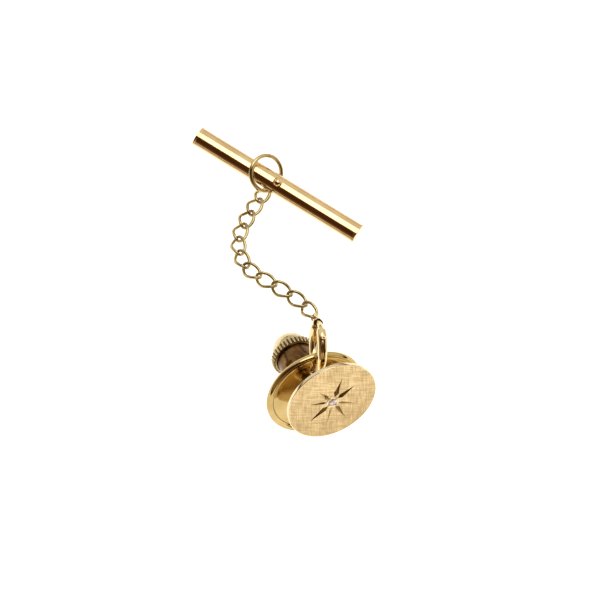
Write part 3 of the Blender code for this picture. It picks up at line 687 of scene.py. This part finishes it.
def closeTree(tree, skin, paint):
    smooth = addNode(tree, "GeometryNodeSetShadeSmooth", None, {0: skin})
    real = addNode(tree, "GeometryNodeRealizeInstances", None, {0: smooth})
    painted = addNode(tree, "GeometryNodeSetMaterial", None, {0: real, "Material": paint})
    addNode(tree, "NodeGroupOutput", None, {0: painted})
    return tree


def grown(name, tree, sizes, paint, place, sharp=60):
    # runs a tree once and keeps its result as a plain mesh
    values = {**sizes, "Paint": paint}
    holder = newObject("holder", bpy.data.meshes.new(name))
    grow = holder.modifiers.new("grow", "NODES")
    grow.node_group = tree
    for item in tree.interface.items_tree:
        if item.in_out == "INPUT":
            grow[item.identifier] = values[item.name]
    bpy.context.view_layer.update()
    ready = holder.evaluated_get(bpy.context.evaluated_depsgraph_get())
    mesh = bpy.data.meshes.new_from_object(ready)
    holder.modifiers.remove(grow)
    bpy.data.objects.remove(holder)
    shape = bmesh.new()
    shape.from_mesh(mesh)
    return newObject(name, filled(mesh, shape, place, sharp))


def skinned(tree, path, thickness, sides, share=1.0):
    # a round wire along a curve; share thins it along the way
    ring = addNode(tree, "GeometryNodeCurvePrimitiveCircle", None, {"Resolution": sides, "Radius": thickness})
    sockets = {"Curve": path, "Profile Curve": ring, "Scale": share, "Fill Caps": True}
    return addNode(tree, "GeometryNodeCurveToMesh", None, sockets)


knob = {
    "mouth": -5.2, "knurlLength": 0.85, "drum": 2.27, "dome": 1.93, "domeStep": 0.27,
    "wall": 0.3, "cavity": 2.05, "shelf": -5.6, "shoulder": 0.1,
    "domeSteps": 22, "insideSteps": 8, "segments": 128,
}
ridges = {"Count": 36, "Reach": 2.315, "Thickness": 0.118, "Length": 0.82}


def makeKnob(size):
    mouth, drum, dome, cavity = size["mouth"], size["drum"], size["dome"], size["cavity"]
    end = mouth - size["knurlLength"]
    middle = end - size["domeStep"]
    start = math.asin(size["domeStep"] / dome)
    shoulder = dome + size["shoulder"]
    corners = [(cavity, mouth, 0.03), (drum, mouth, 0.06), (drum, end, 0.06), (shoulder, end - 0.02, 0.03)]
    outline = rounded(corners)
    for step in range(size["domeSteps"] + 1):
        angle = start + (-math.pi / 2 - start) * step / size["domeSteps"]
        reach = dome * math.cos(angle) if step < size["domeSteps"] else 0
        outline.append((reach, middle + dome * math.sin(angle)))
    inner = dome - size["wall"]
    for step in range(size["insideSteps"] + 1):
        angle = math.pi / 2 * (step / size["insideSteps"] - 1)
        outline.append((inner * math.cos(angle) if step else 0, middle + inner * math.sin(angle)))
    outline += [(inner, size["shelf"]), (cavity, size["shelf"])]
    shape = turned(outline, size["segments"])
    for one in shape.faces:
        centre = one.calc_center_median()
        if end + 0.02 < centre.z and math.hypot(centre.x, centre.y) > drum - 0.05:
            one.material_index = 1  # the drum between the ridges is painted near black, as painted shade between them
    return shape


def ridgeTree():
    tree, given = newTree("knurlRidges", ridges)
    low = addNode(tree, "ShaderNodeCombineXYZ", None, {2: given["Length"] * -0.5})
    high = addNode(tree, "ShaderNodeCombineXYZ", None, {2: given["Length"] * 0.5})
    line = addNode(tree, "GeometryNodeCurvePrimitiveLine", None, {"Start": low, "End": high})
    fine = addNode(tree, "GeometryNodeResampleCurve", None, {"Curve": line, "Count": 11})
    share = addNode(tree, "GeometryNodeSplineParameter")
    plump = ((1 - (share * 2 - 1).size() ** 5) ** 0.5).atLeast(0.3)
    skin = skinned(tree, fine, given["Thickness"], 14, plump)
    sockets = {"Vertices": given["Count"], "Radius": given["Reach"]}
    ring = addNode(tree, "GeometryNodeMeshCircle", None, sockets)
    copies = addNode(tree, "GeometryNodeInstanceOnPoints", None, {"Points": ring, "Instance": skin})
    return closeTree(tree, copies, given["Paint"])


settle(made("knobDome", makeKnob(knob), tackFrame, knobGold, knurlPaintedShade), "knob", ["knob"], 40)
ridgePlace = tackFrame @ Matrix.Translation((0, 0, knob["mouth"] - knob["knurlLength"] / 2))
settle(grown("knobRidges", ridgeTree(), ridges, knobGold, ridgePlace, 50), "knob", [])

spring = {"Turns": 5.0, "Radius": 1.215, "Wire": 0.08, "Height": 1.50}
springLow, springHigh = (Vector(corner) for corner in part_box("knob_spring"))
springMiddle = tackFrame.inverted() @ ((springLow + springHigh) / 2)


def springTree():
    tree, given = newTree("knobSpring", spring)
    path = addNode(tree, "GeometryNodeCurveSpiral", None, {
        "Resolution": 40, "Rotations": given["Turns"], "Start Radius": given["Radius"],
        "End Radius": given["Radius"], "Height": given["Height"],
    })
    return closeTree(tree, skinned(tree, path, given["Wire"], 10), given["Paint"])


springPlace = tackFrame @ Matrix.Translation((0, 0, springMiddle.z - spring["Height"] / 2))
coilPiece = grown("knobCoil", springTree(), spring, steel, springPlace)
settle(coilPiece, "knob", ["knob_spring"])
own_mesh(coilPiece)
print("knob made")

clasp = {
    "bend": 2.32, "tube": 0.52, "bore": 0.33, "open": 2, "shut": 48, "lip": 0.05, "steps": 150, "sides": 36,
    "thumb": 72, "travel": 48, "slotHalf": 0.18, "slotSteps": 24,
    "play": 0.05, "boltShows": 8, "boltHides": 52,
    "stem": 0.13, "stemLength": 0.3, "eyeAt": -35, "eye": 0.4, "eyeWire": 0.13, "eyeGap": 0.03,
}


def makeTube(size):
    start = math.radians(size["shut"])
    sweep = math.radians(size["open"] + 360) - start
    lipShare = size["lip"] / (size["bend"] * sweep)
    marks = [mark * lipShare for mark in (0, 0.3, 0.7, 1.2)]  # close together, where the mouth is rounded
    shares = marks + [step / size["steps"] for step in range(1, size["steps"])]
    shares += [1 - mark for mark in reversed(marks)]
    shape = bmesh.new()
    outside, inside = [], []
    for share in shares:
        angle = start + sweep * share
        nearEnd = min(share, 1 - share) / lipShare
        outer = size["tube"] - size["lip"] * (1 - min(1, nearEnd)) ** 2
        for loops, radius in ((outside, outer), (inside, size["bore"])):
            points = circleAt(angle, size["bend"], radius, size["sides"])
            loops.append([shape.verts.new(point) for point in points])
    for loops in (outside, inside):
        for low, high in zip(loops, loops[1:]):
            bridge(shape, low, high)
    bridge(shape, outside[0], inside[0])
    bridge(shape, outside[-1], inside[-1])
    return shape


def makeSlot(size):
    # the slot that the thumb piece slides in
    half = size["slotHalf"]
    start = math.radians(size["thumb"]) - half / size["bend"]
    end = math.radians(size["thumb"] + size["travel"]) + half / size["bend"]
    near, far = size["bend"], size["bend"] + 2 * size["tube"]
    corners = ((near, -half), (far, -half), (far, half), (near, half))
    angles = [start + (end - start) * step / size["slotSteps"] for step in range(size["slotSteps"] + 1)]
    return strung([[onCircle(reach, angle, side) for reach, side in corners] for angle in angles], False)


def radialPlace(degrees, reach):
    # a place on the ring's circle, facing outwards
    turn = Matrix.Rotation(math.radians(degrees), 4, "Z")
    return claspFrame @ turn @ Matrix.Translation((reach, 0, 0)) @ Matrix.Rotation(math.pi / 2, 4, "Y")


def makeBolt(size):
    start = math.radians(size["open"] - size["boltShows"])
    end = math.radians(size["thumb"] + size["boltHides"])
    steps = 96
    loops = []
    for step in range(steps + 1):
        share = step / steps
        ease = max(0, 1 - min(share, 1 - share) / 0.015)  # the last part of each end is rounded
        radius = (size["bore"] - size["play"]) * (1 - 0.25 * ease**2)
        loops.append(circleAt(start + (end - start) * share, size["bend"], radius, 28))
    piece = made("claspBolt", strung(loops, False), claspFrame, claspGold)
    reach = size["tube"] + size["stemLength"]
    stem = plug(size["stem"], 0, reach, 24)
    cut(piece, meshOf("stem", stem, radialPlace(size["thumb"], size["bend"]), claspGold), "UNION")
    corners = [(0, -0.13, 0), (0.2, -0.13, 0.08), (0.22, 0.04, 0.1), (0.12, 0.2, 0.08), (0, 0.22, 0)]
    thumb = turned(rounded(corners), 32)
    cut(piece, meshOf("thumb", thumb, radialPlace(size["thumb"], size["bend"] + reach), claspGold), "UNION")
    return piece


tube = made("claspTube", makeTube(clasp), claspFrame, claspGold)
cut(tube, meshOf("slot", makeSlot(clasp), claspFrame, claspGold))
settle(tube, "clasp", ["clasp_tube"], 35)
settle(makeBolt(clasp), "bolt", ["clasp_bolt"], 35)

coil = {
    "Turns": 16.0, "Bend": clasp["bend"], "Radius": 0.22, "Wire": 0.045,
    "From": math.radians(127), "To": math.radians(302),
}


def coilTree():
    # a coil whose middle line bends round z
    tree, given = newTree("bentCoil", coil)
    line = addNode(tree, "GeometryNodeCurvePrimitiveLine", None, {"End": (1, 0, 0)})
    fine = addNode(tree, "GeometryNodeResampleCurve", None, {"Curve": line, "Count": 420})
    share = addNode(tree, "GeometryNodeSplineParameter")
    angle = share * (given["To"] - given["From"]) + given["From"]
    turn = share * given["Turns"] * (2 * math.pi)
    reach = turn.cos() * given["Radius"] + given["Bend"]
    places = {0: angle.cos() * reach, 1: angle.sin() * reach, 2: turn.sin() * given["Radius"]}
    spot = addNode(tree, "ShaderNodeCombineXYZ", None, places)
    path = addNode(tree, "GeometryNodeSetPosition", None, {0: fine, "Position": spot})
    return closeTree(tree, skinned(tree, path, given["Wire"], 8), given["Paint"])


settle(grown("claspCoil", coilTree(), coil, steel, claspFrame), "clasp", ["clasp_spring"])
print("spring ring made")

link = {"Length": 2.42, "Width": 1.42, "Wire": 0.184, "Twist": math.radians(-45), "Flatness": 0.12}
chain = {"count": 11, "pitch": 1.99, "lastRoll": -15}


def linkTree():
    # an oval wire with its two ends twisted opposite ways about its length
    tree, given = newTree("curbLink", link)
    ring = addNode(tree, "GeometryNodeCurvePrimitiveCircle", None, {"Resolution": 96, "Radius": 1.0})
    x, y, _ = splitUp(tree, addNode(tree, "GeometryNodeInputPosition"))
    twist = x * given["Twist"]
    side = y * given["Width"] * 0.5
    places = {0: x * given["Length"] * 0.5, 1: side * twist.cos(), 2: side * twist.sin()}
    spot = addNode(tree, "ShaderNodeCombineXYZ", None, places)
    path = addNode(tree, "GeometryNodeSetPosition", None, {0: ring, "Position": spot})
    turn = addNode(tree, "GeometryNodeSplineParameter") * (2 * math.pi)
    worn = 1 - given["Flatness"] * turn.cos().size()  # the wire is thinner at the two ends, where links rub
    return closeTree(tree, skinned(tree, path, given["Wire"], 20, worn), given["Paint"])


def linkPlaces(size):
    names = sorted(name for name in joints if name.startswith("link_"))
    points = [jointPoint(name) for name in names] + [jointPoint("ring_swing")]
    places = []
    for start, end in zip(points, points[1:]):
        along = (end - start).normalized()
        side = upright.cross(along).normalized()
        places.append(frameOf(start + along * size["pitch"] * mm / 2, along, side, along.cross(side)))
    places[-1] = places[-1] @ Matrix.Rotation(math.radians(size["lastRoll"]), 4, "X")
    return places[:size["count"]]


def makeEye(size, firstLink):
    # the eye on the spring ring faces along the first link's end wire
    wireWay = firstLink.to_3x3().normalized() @ Vector((0, math.cos(link["Twist"]), -math.sin(link["Twist"])))
    facing = claspFrame.to_3x3().normalized().inverted() @ wireWay
    angle = math.radians(size["eyeAt"])
    turn = math.atan2(-facing.dot(Vector((-math.sin(angle), math.cos(angle), 0))), facing.z)
    edge = size["bend"] + size["tube"]
    reach = edge + size["eyeGap"] + size["eyeWire"] + size["eye"]
    place = claspFrame @ Matrix.Rotation(angle, 4, "Z") @ Matrix.Translation((reach, 0, 0))
    place = place @ Matrix.Rotation(turn, 4, "X")
    eye = made("claspEye", hoop(size["eye"], size["eyeWire"], 64, 20), place, claspGold)
    post = turned(rounded([(0, 0, 0), (0.17, 0, 0), (0.12, 0.14, 0.02), (0, 0.14, 0)]), 24)
    cut(eye, meshOf("post", post, radialPlace(size["eyeAt"], edge - size["eyeGap"]), claspGold), "UNION")
    return eye


oneLink = linkTree()
linkFrames = linkPlaces(chain)
for number, place in enumerate(linkFrames, start=1):
    piece = grown(f"chainLink{number:02d}", oneLink, link, chainGold, place)
    settle(piece, f"link_{number:02d}", [f"chain_link_{number:02d}"])
settle(makeEye(clasp, linkFrames[0]), "clasp", ["clasp_eye"], 50)
print("chain made")

barRing = {"bend": 1.85, "wire": 0.225, "tilt": 38, "hook": -54}
bar = {
    "length": 20.0, "width": 2.15, "height": 0.85, "edge": 0.12, "bevel": 0.05, "ledge": 0.13,
    "lip": 0.035, "lipLength": 0.22, "crownSteps": 48, "lengthSteps": 24,
}
stud = {"radius": 0.5, "height": 0.34, "shank": 0.19, "rim": 0.05, "sunk": 0.02, "domeSteps": 14}


def makeBarRing(size):
    lean = Matrix.Rotation(math.radians(size["tilt"]), 4, "Y")
    tilted = frameOf(Vector(), barAlong, barAcross, upright) @ lean
    toHook = tilted.to_3x3() @ onCircle(size["bend"], math.radians(size["hook"]))
    place = Matrix.Translation(jointPoint("ring_swing") - toHook) @ tilted
    return made("barRing", hoop(size["bend"], size["wire"], 120, 28), place, ringGold)


def barLoop(size, x, inset):
    # the half-round section, drawn in by inset all round
    half = size["width"] / 2 - inset
    edge = size["edge"]
    ledge = half - size["ledge"]
    rise = size["height"] - edge - inset
    flank = [(half - 0.5 * edge, inset), (half, inset + 0.5 * edge), (half, edge + 0.08)]
    flank += [(ledge + 0.03, edge + 0.24), (ledge, edge + 0.16)]
    angles = [math.pi * step / size["crownSteps"] for step in range(size["crownSteps"] + 1)]
    arc = [(half * math.cos(angle), edge + rise * math.sin(angle)) for angle in angles]
    crown = [(y, z) for y, z in arc if abs(y) < ledge - 0.02]
    other = [(-y, z) for y, z in reversed(flank)]
    return [Vector((x, y, z)) for y, z in flank + crown + other]


def makeBar(size):
    half = size["length"] / 2
    lip, run, bevel, steps = size["lip"], size["lipLength"], size["bevel"], size["lengthSteps"]
    stations = [(0, bevel), (0.02, 0.02), (bevel, 0), (run, 0), (run + 0.03, lip), (run + 0.5, lip)]
    places = [(-half + reach, inset) for reach, inset in stations]
    places += [(-half + size["length"] * step / steps, lip) for step in range(1, steps)]
    places += [(half - reach, inset) for reach, inset in reversed(stations)]
    return strung([barLoop(size, x, inset) for x, inset in places], False)


def makeStud(size):
    # a domed rivet head in a shallow ring
    top = bar["height"] - size["sunk"]
    radius, dome, steps = size["radius"], size["radius"] - size["rim"], size["domeSteps"]
    outline = [(0, 0.02), (size["shank"], 0.02), (size["shank"], top), (radius, top)]
    outline += [(radius, top + 0.03), (radius - 0.03, top + 0.05), (dome, top + 0.02)]
    for step in range(steps + 1):
        angle = math.pi / 2 * step / steps
        reach = dome * math.cos(angle) if step < steps else 0
        outline.append((reach, top + 0.02 + size["height"] * math.sin(angle)))
    return turned(outline, 64)


settle(makeBarRing(barRing), "ring", ["bar_ring"])
settle(made("barBody", makeBar(bar), barFrame, barGold, sharp=30), "bar", ["bar"])
settle(made("barStud", makeStud(stud), barFrame, barGold, sharp=30), "bar", ["bar_stud"])
print("bar made")

for name in ("taper_sleeve", "ball_cage", "ball_1", "ball_2", "ball_3"):  # these keep their shapes
    frame["nodes"][name].data.materials[0] = steel

ground = {"half": 1.5, "drop": 0.00002, "glow": 0.8, "rough": 0.85}


def makeFloor(size):
    finish = Finish("paleFloor", {
        "Roughness": size["rough"], "Emission Color": colour(1, 1, 1), "Emission Strength": size["glow"],
    })
    tone = finish.noise(finish.place, 9.0, 3)
    finish.show(colour=finish.blend(tone, colour(0.93, 0.93, 0.93), colour(0.96, 0.96, 0.96)))
    shape = bmesh.new()
    bmesh.ops.create_grid(shape, x_segments=1, y_segments=1, size=size["half"])
    mesh = bpy.data.meshes.new("paleFloor")
    shape.to_mesh(mesh)
    shape.free()
    mesh.materials.append(finish.material)
    floor = newObject("paleFloor", mesh)
    floor.location.z = -size["drop"]  # just under the lowest piece


studio = {
    "bright": colour(0.93, 0.915, 0.88), "low": colour(0.42, 0.30, 0.16), "above": colour(0.07, 0.028, 0.01),
    "line": colour(0.03, 0.015, 0.005), "lineHeight": 0.06,
}


def makeRoom(look):
    # bright behind and overhead, brown and dim in front, with a dark line at the horizon
    world = bpy.data.worlds.new("studio")
    world.use_nodes = True
    scene.world = world
    room = world.node_tree
    east, north, high = splitUp(room, addNode(room, "ShaderNodeTexCoord", out="Generated"))
    bright = (north + east * 0.35).step(0.02, 0.16)
    skyline = (high - look["lineHeight"]).size().step(0.05, 0.10)
    front = mixed(room, high.step(0.25, 0.75), look["low"], look["above"])
    light = mixed(room, bright, front, look["bright"])
    feed(room, room.nodes["Background"].inputs["Color"], mixed(room, skyline, look["line"], light))
    room.nodes["Background"].inputs["Strength"].default_value = 1.0


lamps = {
    "overhead": {"place": (0.05, 0.12, 0.4), "size": 0.3, "power": 0.5, "tint": (1.0, 0.99, 0.97)},
    "frontFill": {"place": (0.25, -0.35, 0.12), "size": 0.2, "power": 0.12, "tint": (1.0, 0.98, 0.94)},
}


def addLamp(name, look):
    data = bpy.data.lights.new(name, "AREA")
    data.shape = "DISK"
    data.size = look["size"]
    data.energy = look["power"]
    data.color = look["tint"]
    lamp = newObject(name, data)
    lamp.location = look["place"]
    lamp.rotation_euler = (-Vector(look["place"])).to_track_quat("-Z", "Y").to_euler()  # aimed at the origin


view = {
    "elevation": 71.0, "across": 1.766, "up": -1.223, "forward": -4.7,  # the aim, in millimetres
    "distance": 0.6, "sensor": 36.0, "width": 600 / 9.7 * mm, "near": 0.01, "far": 5.0,
}


def addCamera(look):
    tilt = math.radians(look["elevation"])
    upward = Vector((0, math.sin(tilt), math.cos(tilt)))
    forward = Vector((0, math.cos(tilt), -math.sin(tilt)))
    aim = (Vector((1, 0, 0)) * look["across"] + upward * look["up"] + forward * look["forward"]) * mm
    data = bpy.data.cameras.new("camera")
    data.sensor_width = look["sensor"]
    data.lens = look["sensor"] * look["distance"] / look["width"]
    data.clip_start = look["near"]
    data.clip_end = look["far"]
    camera = newObject("camera", data)
    camera.location = aim - forward * look["distance"]
    camera.rotation_euler = (math.radians(90) - tilt, 0, 0)
    scene.camera = camera


makeFloor(ground)
makeRoom(studio)
for name, look in lamps.items():
    addLamp(name, look)
addCamera(view)
scene.view_settings.view_transform = "Standard"
print("floor, light and camera ready")
